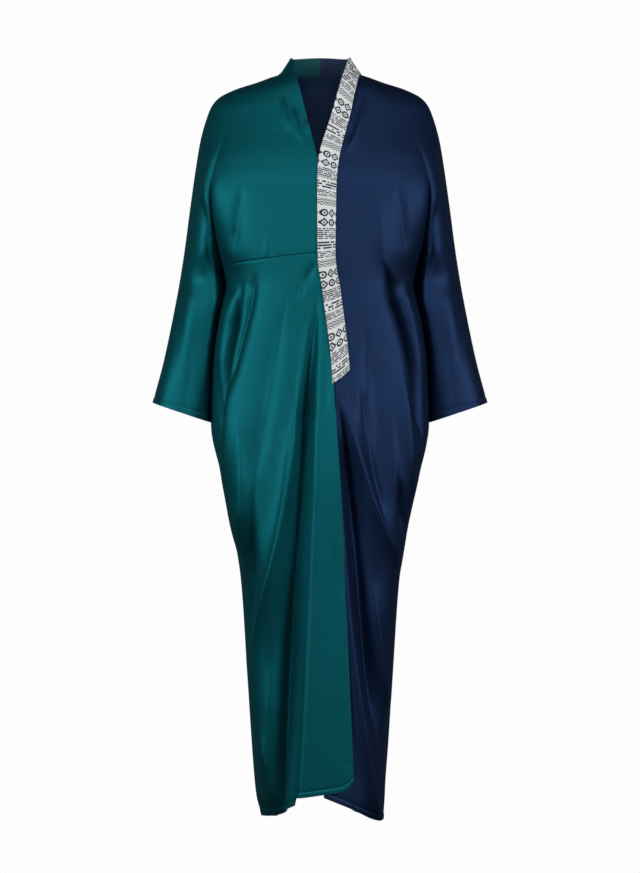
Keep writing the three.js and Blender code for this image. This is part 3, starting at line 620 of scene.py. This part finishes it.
def front_sleeve_top(turn, rows, lift):
    u, nominal = np.meshgrid(SLEEVE_U, rows)
    first = front_corner(turn, np.ones_like(u), nominal)[0]
    c = np.where(u == 1, 2.0, np.where(u == 0, first, mix(first, 2, u)))
    return lifted(turn, c, nominal, False, lift)


def sleeve_tube(turn, start, end, rows=ARM_ROWS):
    u, nominal = np.meshgrid(SLEEVE_U, rows)
    c = np.where(u == 0, float(start), np.where(u == 1, float(end), mix(start, end, u)))
    return lifted(turn, c, sleeve_height(nominal, c), True, lambda x, z: turned(nominal, CUFF_INNER))


def back_grid(turn, rows, below):
    u, nominal = np.meshgrid(BACK_U, rows)
    split = np.ones_like(u) if below else armpit_place(nominal, 0)
    c = np.where(u == 1, 4 - split, 4 - mix(0, split, 1 - (1 - u) ** BACK_CROWDING))
    z = nominal + back_rise(c, nominal) + (back_hem(4 - c) - HEM) * hem_share(nominal)
    return lifted(turn, c, z, False, lambda x, height: turned(nominal, HEM))


def back_rise(c, nominal):
    """How far the rows at the neck rise to the middle of the back."""
    near_neck = smooth((nominal - NECK_BLEND) / (NECK_SIDE - NECK_BLEND))
    return (NECK_BACK - NECK_SIDE) * smooth((c - 2) / 2) * near_neck


def back_sleeve_top(turn, rows):
    u, nominal = np.meshgrid(SLEEVE_U, rows)
    split = armpit_place(nominal, 0)
    c = np.where(u == 1, 2.0, np.where(u == 0, 4 - split, 4 - mix(split, 2, u)))
    return lifted(turn, c, nominal + back_rise(c, nominal), False, no_lift)


# ---- Meshes ----

SAME_PLACE = 2e-6  # points closer than this, in metres, are one


def cloth_object(name, grids, thickness, materials):
    """One mesh from grids of points in millimetres, each with True where its faces look out as the
    columns run to the right of one who faces them. The grids join where their edges meet."""
    vertices, faces, uvs = [], [], []
    offset = 0
    for points, rightward, *own_uv in grids:
        rows, cols = points.shape[:2]
        index = offset + np.arange(rows * cols).reshape(rows, cols)
        quads = np.stack([index[:-1, :-1], index[1:, :-1], index[1:, 1:], index[:-1, 1:]], axis=-1)
        quads = quads.reshape(-1, 4)
        faces.append(quads if rightward else quads[:, ::-1])
        step = np.linalg.norm(np.diff(points, axis=1), axis=-1)
        along = np.concatenate([np.zeros((rows, 1)), np.cumsum(step, axis=1)], axis=1)
        flat = own_uv[0] if own_uv else np.stack([along, points[..., 2]], axis=-1)
        uvs.append(flat.reshape(-1, 2) * MM)
        vertices.append(points.reshape(-1, 3) * MM)
        offset += rows * cols
    vertices = np.concatenate(vertices)
    faces = np.concatenate(faces)
    uvs = np.concatenate(uvs)
    keys = np.round(vertices / SAME_PLACE).astype(np.int64)
    _, first, number = np.unique(keys, axis=0, return_index=True, return_inverse=True)
    number = number.reshape(-1)
    joined = number[faces]
    whole = np.array([len(set(face)) == 4 for face in joined.tolist()])
    mesh = bpy.data.meshes.new(name)
    mesh.from_pydata(vertices[first].tolist(), [], joined[whole].tolist())
    layer = mesh.uv_layers.new(name="cloth")
    layer.data.foreach_set("uv", uvs[faces[whole].reshape(-1)].astype(np.float32).reshape(-1))
    mesh.polygons.foreach_set("use_smooth", [True] * len(mesh.polygons))
    mesh.update()
    corners = joined[whole]
    ends = np.sort(np.stack([corners, np.roll(corners, -1, axis=1)], axis=-1).reshape(-1, 2), axis=1)
    pairs, count = np.unique(ends, axis=0, return_counts=True)
    border = {tuple(pair) for pair in pairs[count == 1].tolist()}
    for edge in mesh.edges:
        edge.use_edge_sharp = tuple(sorted(edge.vertices)) in border
    obj = bpy.data.objects.new(name, mesh)
    bpy.context.scene.collection.objects.link(obj)
    for material in materials:
        mesh.materials.append(material)
    solid = obj.modifiers.new("thickness", "SOLIDIFY")
    solid.thickness = thickness
    solid.offset = -1
    solid.material_offset = 1
    solid.use_quality_normals = True
    return obj


def line_of_stitches(grid, turn):
    """Spindles along the middle row of a grid of three rows. turn is 1 or -1, for which way is out."""
    middle = grid[1]
    step = np.linalg.norm(np.diff(middle, axis=0), axis=1)
    length = np.concatenate([[0], np.cumsum(step)])
    out = np.cross(np.gradient(middle, axis=0), grid[2] - grid[0]) * turn
    out = out / np.maximum(np.linalg.norm(out, axis=1, keepdims=True), 1e-9)
    at = np.arange(STITCH_PITCH / 2, length[-1] - STITCH_PITCH / 2, STITCH_PITCH)

    def along_line(values, shift):
        return np.stack([np.interp(at + shift, length, values[:, axis]) for axis in range(3)], axis=-1)

    start, centre, end = (along_line(middle, shift) for shift in (-STITCH / 2, 0, STITCH / 2))
    up = along_line(out, 0)
    along = end - start
    side = np.cross(up, along / np.linalg.norm(along, axis=1, keepdims=True)) * STITCH_WIDE / 2
    rise = up * STITCH_WIDE / 2
    corners = np.stack([start, centre + side + rise, centre - side + rise, centre - rise, end], axis=1)
    first = 5 * np.arange(len(at))[:, None, None]
    faces = first + np.array([(0, 1, 2), (0, 2, 3), (0, 3, 1), (4, 2, 1), (4, 3, 2), (4, 1, 3)])
    return corners.reshape(-1, 3) + np.repeat(up, 5, axis=0) * STITCH_WIDE / 2, faces.reshape(-1, 3)


def stitches(name, lines, material):
    """One mesh of all the stitches in lines, each a grid of three rows and its turn."""
    vertices, faces = [], []
    offset = 0
    for grid, turn in lines:
        points, triangles = line_of_stitches(grid, turn)
        vertices.append(points * MM)
        faces.append(triangles + offset)
        offset += len(points)
    mesh = bpy.data.meshes.new(name)
    mesh.from_pydata(np.concatenate(vertices).tolist(), [], np.concatenate(faces).tolist())
    mesh.materials.append(material)
    mesh.update()
    obj = bpy.data.objects.new(name, mesh)
    bpy.context.scene.collection.objects.link(obj)
    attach(obj, "root")


def add_piece(obj, node):
    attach(obj, "root")
    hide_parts(node)


# ---- Materials ----

class Value:
    """A number worked out by the nodes of the material that is being made."""
    nodes = None
    links = None

    def __init__(self, socket):
        self.socket = socket

    @staticmethod
    def math(operation, *inputs):
        node = Value.nodes.new("ShaderNodeMath")
        node.operation = operation
        for slot, value in zip(node.inputs, inputs):
            if isinstance(value, Value):
                Value.links.new(value.socket, slot)
            else:
                slot.default_value = value
        return Value(node.outputs[0])

    def __add__(self, other):
        return Value.math("ADD", self, other)

    def __sub__(self, other):
        return Value.math("SUBTRACT", self, other)

    def __mul__(self, other):
        return Value.math("MULTIPLY", self, other)

    def __truediv__(self, other):
        return Value.math("DIVIDE", self, other)

    def __lt__(self, other):
        return Value.math("LESS_THAN", self, other)

    def __gt__(self, other):
        return Value.math("GREATER_THAN", self, other)

    def floor(self):
        return Value.math("FLOOR", self)

    def fraction(self):
        return Value.math("FRACT", self)

    def size(self):
        return Value.math("ABSOLUTE", self)

    def either(self, other):
        return Value.math("MAXIMUM", self, other)


def new_material(name):
    """A material and its surface. The values made after this call belong to it."""
    material = bpy.data.materials.new(name)
    material.use_nodes = True
    Value.nodes = material.node_tree.nodes
    Value.links = material.node_tree.links
    return material, Value.nodes["Principled BSDF"]


def between(value, low, high):
    return (value > low) * (value < high)


def chance(a, b):
    """A random number for each pair of whole numbers."""
    node = Value.nodes.new("ShaderNodeCombineXYZ")
    Value.links.new(a.socket, node.inputs["X"])
    Value.links.new(b.socket, node.inputs["Y"])
    noise = Value.nodes.new("ShaderNodeTexWhiteNoise")
    noise.noise_dimensions = "2D"
    Value.links.new(node.outputs["Vector"], noise.inputs["Vector"])
    return Value(noise.outputs["Value"])


def surface_coordinates():
    """The cloth's own coordinates, across and along, in millimetres."""
    uv = Value.nodes.new("ShaderNodeUVMap")
    uv.uv_map = "cloth"
    split = Value.nodes.new("ShaderNodeSeparateXYZ")
    Value.links.new(uv.outputs["UV"], split.inputs["Vector"])
    return Value(split.outputs["X"]) * (1 / MM), Value(split.outputs["Y"]) * (1 / MM)


def noise_value(across, along, detail):
    """Noise from 0 to 1, with bumps about one unit of its coordinates wide."""
    node = Value.nodes.new("ShaderNodeCombineXYZ")
    Value.links.new(across.socket, node.inputs["X"])
    Value.links.new(along.socket, node.inputs["Y"])
    noise = Value.nodes.new("ShaderNodeTexNoise")
    noise.inputs["Scale"].default_value = 1
    noise.inputs["Detail"].default_value = detail
    Value.links.new(node.outputs["Vector"], noise.inputs["Vector"])
    return Value(noise.outputs["Fac"])


def blend(factor, first, second):
    node = Value.nodes.new("ShaderNodeMix")
    node.data_type = "RGBA"
    Value.links.new(factor.socket, node.inputs["Factor"])
    for index, color in ((6, first), (7, second)):
        if isinstance(color, tuple):
            node.inputs[index].default_value = (*color, 1)
        else:
            Value.links.new(color, node.inputs[index])
    return node.outputs[2]


def bump(height, strength, distance, bsdf):
    node = Value.nodes.new("ShaderNodeBump")
    node.inputs["Strength"].default_value = strength
    node.inputs["Distance"].default_value = distance
    Value.links.new(height.socket, node.inputs["Height"])
    Value.links.new(node.outputs["Normal"], bsdf.inputs["Normal"])


# The weave's floats and threads to a millimetre, and the slant of the floats
FLOATS = 2
FLOAT_SLANT = 0.7
THREADS = 3.1


def weave(across, along):
    """The fine twill of the satin's floats, half a millimetre apart."""
    twill = ((across * FLOATS + along * FLOAT_SLANT).fraction() - 0.5).size()
    warp = ((across * THREADS).fraction() - 0.5).size()
    return twill + warp


# The width and length of a slub, a cloud and a crinkle in millimetres, and the relief: how high the
# crinkles and the weave stand as shares of its depth in metres
SLUB = (7, 26)
CLOUD = (40, 70)
CRINKLE = (6, 17)
CRINKLE_SLANT = 0.6
CRINKLE_HEIGHT = 2.4
WEAVE_HEIGHT = 0.1
RELIEF = 0.0004


def satin(name, color, dark, roughness, metallic):
    """Dyed satin, clouded between color and dark, with slubs, crinkles and its weave."""
    material, bsdf = new_material(name)
    bsdf.inputs["Roughness"].default_value = roughness
    bsdf.inputs["Metallic"].default_value = metallic
    bsdf.inputs["Specular IOR Level"].default_value = 0.3
    bsdf.inputs["Anisotropic"].default_value = 0.4
    tangent = Value.nodes.new("ShaderNodeTangent")
    tangent.direction_type = "UV_MAP"
    tangent.uv_map = "cloth"
    Value.links.new(tangent.outputs["Tangent"], bsdf.inputs["Tangent"])
    across, along = surface_coordinates()
    slub = noise_value((across + along) / SLUB[0], (across - along) / SLUB[1], 4)
    cloudy = noise_value(across / CLOUD[0], along / CLOUD[1], 2)
    Value.links.new(blend((slub + cloudy) * 0.5, dark, color), bsdf.inputs["Base Color"])
    slanted = across + along * CRINKLE_SLANT
    crossing = across * CRINKLE_SLANT - along
    crinkle = noise_value(slanted / CRINKLE[0], crossing / CRINKLE[1], 3)
    bump(crinkle * CRINKLE_HEIGHT + weave(across, along) * WEAVE_HEIGHT, 0.5, RELIEF, bsdf)
    return material


def thread(name, color):
    material, bsdf = new_material(name)
    bsdf.inputs["Base Color"].default_value = (*color, 1)
    bsdf.inputs["Roughness"].default_value = 0.55
    bsdf.inputs["Sheen Weight"].default_value = 0.2
    return material


# The print, in millimetres from the start of each repeat: rows of rings and lozenges, rows of small bars,
# and zigzags. Each row of bars has its range, the pitch of its lines, the width of a bar, the share of
# bars that are printed, and how much of a line they fill.
PRINT_REPEAT = 109.0
PRINT_SLANT = 0.035
PRINT_SHIFT = 9
PRINT_RELIEF = 0.0001
CELL = 15
ROW_MIDDLE = 8.5
ROW_HALF = 8.2
RING = (3.7, 6.7, 1.8)  # its inner and outer radius, and that of its dot
LOZENGE = (4.6, 8.2, 2.2)
BARS = [
    (36, 56, 3.4, 1.7, 0.8, 0.6),
    (60, 74, 4.8, 3.0, 0.72, 0.62),
    (77, 88, 3.0, 1.4, 0.75, 0.6),
]
ZIGZAG_START = 91
ZIGZAG_END = 104
ZIGZAG_WIDTH = 6.4
ZIGZAG_PITCH = 4.6
ZIGZAG_FILL = 0.46
GROUND = (0.80, 0.83, 0.84)
GROUND_DIM = (0.70, 0.74, 0.75)
GROUND_CLOUD = 30
INK = (0.012, 0.013, 0.018)


def printed_satin(name):
    """White satin printed with bars, rings, lozenges and zigzags in black, in rows of uneven height."""
    material, bsdf = new_material(name)
    bsdf.inputs["Roughness"].default_value = 0.45
    bsdf.inputs["Specular IOR Level"].default_value = 0.4
    across, along = surface_coordinates()
    across = across + along * PRINT_SLANT
    repeat = along / PRINT_REPEAT
    number = repeat.floor()
    t = repeat.fraction() * PRINT_REPEAT
    shift = chance(number, number * 3 + 7) * PRINT_SHIFT
    cell = (across + shift) / CELL
    x = (cell.fraction() - 0.5) * CELL
    odd = (cell.floor() / 2).fraction() > 0.25

    def motif_row(low, pick):
        y = t - (low + ROW_MIDDLE)
        radius = Value.math("POWER", x * x + y * y, 0.5)
        ring_ink = between(radius, RING[0], RING[1]).either(radius < RING[2])
        reach = x.size() + y.size()
        lozenge_ink = between(reach, LOZENGE[0], LOZENGE[1]).either(reach < LOZENGE[2])
        chosen = Value.math("COMPARE", odd, pick, 0.5)
        other = Value.math("SUBTRACT", 1.0, chosen)
        return (ring_ink * chosen).either(lozenge_ink * other) * (y.size() < ROW_HALF)

    def bars(low, high, pitch, width, density, height):
        row = (t - low) / pitch
        column = (across + shift * 2) / width
        mark = chance(column.floor(), row.floor() + number * 17) < density
        return mark * (row.fraction() < height) * between(t, low, high)

    zigzag = ((across / ZIGZAG_WIDTH).fraction() - 0.5).size() * ZIGZAG_WIDTH
    chevrons = between(((t - zigzag) / ZIGZAG_PITCH).fraction(), 0.0, ZIGZAG_FILL)
    chevrons = chevrons * between(t, ZIGZAG_START, ZIGZAG_END)
    ink = motif_row(0, 1.0).either(motif_row(2 * ROW_MIDDLE, 0.0))
    for row in BARS:
        ink = ink.either(bars(*row))
    ink = ink.either(chevrons)
    faint = noise_value(across / GROUND_CLOUD, along / GROUND_CLOUD, 2)
    ground = blend(faint, GROUND_DIM, GROUND)
    Value.links.new(blend(ink, ground, INK), bsdf.inputs["Base Color"])
    bump(weave(across, along), 0.3, PRINT_RELIEF, bsdf)
    return material


teal_satin = satin("teal_satin", (0.002, 0.128, 0.158), (0.002, 0.098, 0.120), 0.54, 0.9)
teal_reverse = satin("teal_reverse", (0.003, 0.08, 0.095), (0.003, 0.06, 0.07), 0.6, 0.5)
navy_satin = satin("navy_satin", (0.0140, 0.0355, 0.101), (0.0105, 0.0265, 0.078), 0.54, 0.9)
# The reverse of the navy satin is duller than its face. Its colour is also brightened to make up for the
# shade inside the garment, which is painted light.
navy_reverse_painted_light = satin("navy_reverse_painted_light", (0.024, 0.056, 0.150), (0.020, 0.048, 0.125), 0.6, 0.2)
# The stand's inside faces use the satin made matte. Their colour is brightened to stand in for light on the
# shaded inside of the stand, which is painted light.
teal_stand_painted_light = satin("teal_stand_painted_light", (0.012, 0.115, 0.140), (0.010, 0.100, 0.122), 0.6, 0.1)
navy_stand_painted_light = satin("navy_stand_painted_light", (0.022, 0.044, 0.100), (0.019, 0.039, 0.090), 0.6, 0.1)
band_print = printed_satin("band_print")
teal_thread = thread("teal_thread", (0.004, 0.085, 0.100))
navy_thread = thread("navy_thread", (0.012, 0.026, 0.065))
dark_thread = thread("dark_thread", (0.003, 0.005, 0.012))
white_thread = thread("white_thread", (0.62, 0.65, 0.66))

# ---- The pieces ----

front_right_upper = cloth_object("front_right_upper_cloth", [
    (front_body(-1, TOP_ROWS, teal_lift, False), False),
    (front_sleeve_top(-1, TOP_ROWS, no_lift), False),
    (sleeve_tube(-1, 1, 2), False),
], CLOTH, [teal_satin, teal_reverse])
front_right_lower = cloth_object("front_right_lower_cloth", [
    (front_body(-1, LOW_ROWS, teal_lift, True), False),
], CLOTH, [teal_satin, teal_reverse])
front_left = cloth_object("front_left_cloth", [
    (front_body(1, TOP_ROWS[NECK_ROW:], tuck_lift, False), True),
    (front_sleeve_top(1, TOP_ROWS[NECK_ROW:], no_lift), True),
    (sleeve_tube(1, 1, 2), True),
    (front_body(1, LOW_ROWS, no_lift, True), True),
], CLOTH, [navy_satin, navy_reverse_painted_light])
back_rows = TOP_ROWS[NECK_ROW:]
back = cloth_object("back_cloth", [
    (back_grid(1, back_rows, False), False),
    (back_grid(-1, back_rows, False), True),
    (back_sleeve_top(1, back_rows), False),
    (back_sleeve_top(-1, back_rows), True),
    (back_grid(1, LOW_ROWS, True), False),
    (back_grid(-1, LOW_ROWS, True), True),
    (sleeve_tube(1, 3, 2), False),
    (sleeve_tube(-1, 3, 2), True),
], CLOTH, [navy_satin, navy_reverse_painted_light])


STAND_GRID = (40, 12)  # columns and rows
STAND_INSIDE = 1  # how far the stand goes down inside the neck
BAND_GRID = (25, 220)
BAND_CROWDING = 1.15


def stand_points(turn):
    """Half of the stand, from the side to the middle of the back."""
    t, down = np.meshgrid(np.linspace(0, 1, STAND_GRID[0]), np.linspace(0, 1, STAND_GRID[1]))
    low = mix(NECK_SIDE, NECK_BACK, smooth(t)) - STAND_INSIDE
    high = mix(STAND_SIDE, STAND_BACK, smooth(t))
    return lifted(turn, mix(2, 4, t), mix(high, low, down), False, lambda x, z: np.full_like(x, STAND_LIFT))


def band_points():
    """The band's points and its own coordinates, which the print follows."""
    columns, rows = (np.linspace(0, 1, number) for number in BAND_GRID)
    share, down = np.meshgrid(columns, rows ** BAND_CROWDING)
    z_inner = mix(STAND_SIDE, LAP_TOP, down)
    z_outer = mix(NECK_SIDE, BAND_END_OUTER, down)
    c_inner = np.where(down == 0, 2, place_at(curve(EDGES, "band_inner", z_inner), z_inner))
    c_outer = np.where(down == 0, 2, place_at(curve(EDGES, "band_outer", z_outer), z_outer))
    points = lifted(1, mix(c_inner, c_outer, share), mix(z_inner, z_outer, share), False,
                    lambda x, z: np.full_like(x, BAND_LIFT))
    middle = points[:, points.shape[1] // 2]
    length = np.concatenate([[0], np.cumsum(np.linalg.norm(np.diff(middle, axis=0), axis=1))])
    uv = np.stack([share * BAND_WIDTH, np.broadcast_to(length[:, None], share.shape)], axis=-1)
    return points, uv


stand_right = cloth_object("neck_stand_right_cloth", [
    (stand_points(-1), False),
], BAND_CLOTH, [teal_satin, teal_stand_painted_light])
stand_left = cloth_object("neck_stand_left_cloth", [
    (stand_points(1), True),
], BAND_CLOTH, [navy_satin, navy_stand_painted_light])
band_grid, band_uv = band_points()
neck_band = cloth_object("neck_band_cloth", [
    (band_grid, True, band_uv),
], BAND_CLOTH, [band_print, band_print])

add_piece(front_right_upper, "front_right_upper")
add_piece(front_right_lower, "front_right_lower")
add_piece(front_left, "front_left")
add_piece(back, "back")
add_piece(stand_right, "neck_stand_right")
add_piece(stand_left, "neck_stand_left")
add_piece(neck_band, "neck_band")

STITCH_INSET = 1.8  # from the inner edge of a turned hem
LINE = np.array([1, 0, -1])  # the three rows of a line of stitches
TACK_COLUMNS = 8
HEM_LINE = HEM + HEM_WIDTH - STITCH_INSET + LINE
CUFF_LINE = CUFF_INNER + HEM_WIDTH - STITCH_INSET + LINE


def tack_line(height):
    x, z = np.meshgrid(np.linspace(TACK_START, TACK_END, TACK_COLUMNS), height + LINE)
    return lifted(1, place_at(x, z), z, False, no_lift)


stitches("teal_stitches", [(front_body(-1, HEM_LINE, teal_lift, True), 1),
                           (sleeve_tube(-1, 1, 2, CUFF_LINE), 1)], teal_thread)
stitches("navy_stitches", [(front_body(1, HEM_LINE, no_lift, True), -1),
                           (back_grid(1, HEM_LINE, True), 1),
                           (back_grid(-1, HEM_LINE, True), -1),
                           (sleeve_tube(1, 1, 2, CUFF_LINE), -1),
                           (sleeve_tube(1, 3, 2, CUFF_LINE), 1),
                           (sleeve_tube(-1, 3, 2, CUFF_LINE), -1)], navy_thread)
stitches("tack", [(tack_line(TACK_HEIGHT + height), -1) for height in (-TACK_ROW, 0, TACK_ROW)],
         dark_thread)
stitches("band_stitches", [(band_grid[:, :3].swapaxes(0, 1), 1),
                           (band_grid[:, -3:].swapaxes(0, 1), 1)], white_thread)

# ---- Stage, light and camera ----

PIXEL = 1.85 * MM  # size of a pixel at the garment
PHOTO_HEIGHT = 873  # in pixels
SENSOR = 36  # in millimetres
EYE = (0.0, -5.0, -0.6632)
FLOOR = -1.60
PALE = 0.98  # how bright the floor and the room are where they are seen
ROOM = 0.06  # how much light the room itself gives

camera_data = bpy.data.cameras.new("camera")
camera_data.sensor_width = SENSOR
camera_data.lens = SENSOR * abs(EYE[1]) / (PHOTO_HEIGHT * PIXEL)
camera = bpy.data.objects.new("camera", camera_data)
camera.location = EYE
camera.rotation_euler = (math.radians(90), 0, 0)
bpy.context.scene.collection.objects.link(camera)
bpy.context.scene.camera = camera


def plane(name, size, location, rotation, material):
    half_x, half_y = size[0] / 2, size[1] / 2
    mesh = bpy.data.meshes.new(name)
    corners = [(-half_x, -half_y, 0), (half_x, -half_y, 0), (half_x, half_y, 0), (-half_x, half_y, 0)]
    mesh.from_pydata(corners, [], [(0, 1, 2, 3)])
    mesh.materials.append(material)
    obj = bpy.data.objects.new(name, mesh)
    obj.location = location
    obj.rotation_euler = rotation
    bpy.context.scene.collection.objects.link(obj)
    return obj


def plain_light(name, strength):
    material, bsdf = new_material(name)
    Value.nodes.remove(bsdf)
    emission = Value.nodes.new("ShaderNodeEmission")
    emission.inputs["Strength"].default_value = strength
    Value.links.new(emission.outputs["Emission"], Value.nodes["Material Output"].inputs["Surface"])
    return material


floor = plane("floor", (60, 60), (0, 0, FLOOR), (0, 0, 0), plain_light("pale_floor", PALE))
floor.visible_glossy = False
floor.visible_diffuse = False

world = bpy.data.worlds.new("studio")
world.use_nodes = True
bpy.context.scene.world = world
nodes, links = world.node_tree.nodes, world.node_tree.links
background = nodes["Background"]
seen = nodes.new("ShaderNodeLightPath")
strength = nodes.new("ShaderNodeMix")
strength.inputs["A"].default_value = ROOM
strength.inputs["B"].default_value = PALE
links.new(seen.outputs["Is Camera Ray"], strength.inputs["Factor"])
links.new(strength.outputs["Result"], background.inputs["Strength"])
background.inputs["Color"].default_value = (1, 1, 1, 1)


def softbox(name, location, target, size, power):
    data = bpy.data.lights.new(name, "AREA")
    data.shape = "RECTANGLE"
    data.size, data.size_y = size
    data.energy = power
    obj = bpy.data.objects.new(name, data)
    obj.location = location
    obj.rotation_euler = (Vector(target) - Vector(location)).to_track_quat("-Z", "Y").to_euler()
    bpy.context.scene.collection.objects.link(obj)


softbox("left", (-3.3, -3.2, 0.0), (0, 0, -0.5), (1.2, 2.6), 86)
softbox("right", (3.3, -3.2, 0.0), (0, 0, -0.5), (1.2, 2.6), 84)
softbox("front", (0, -4.7, -0.05), (0, 0, -0.6), (1.2, 0.9), 13)
softbox("above", (0, -3.2, 2.4), (0, 0, -0.3), (5.0, 1.0), 52)
softbox("behind", (0, 4.2, -0.3), (0, 0, -0.6), (1.3, 1.3), 80)

bpy.context.scene.view_settings.view_transform = "Standard"
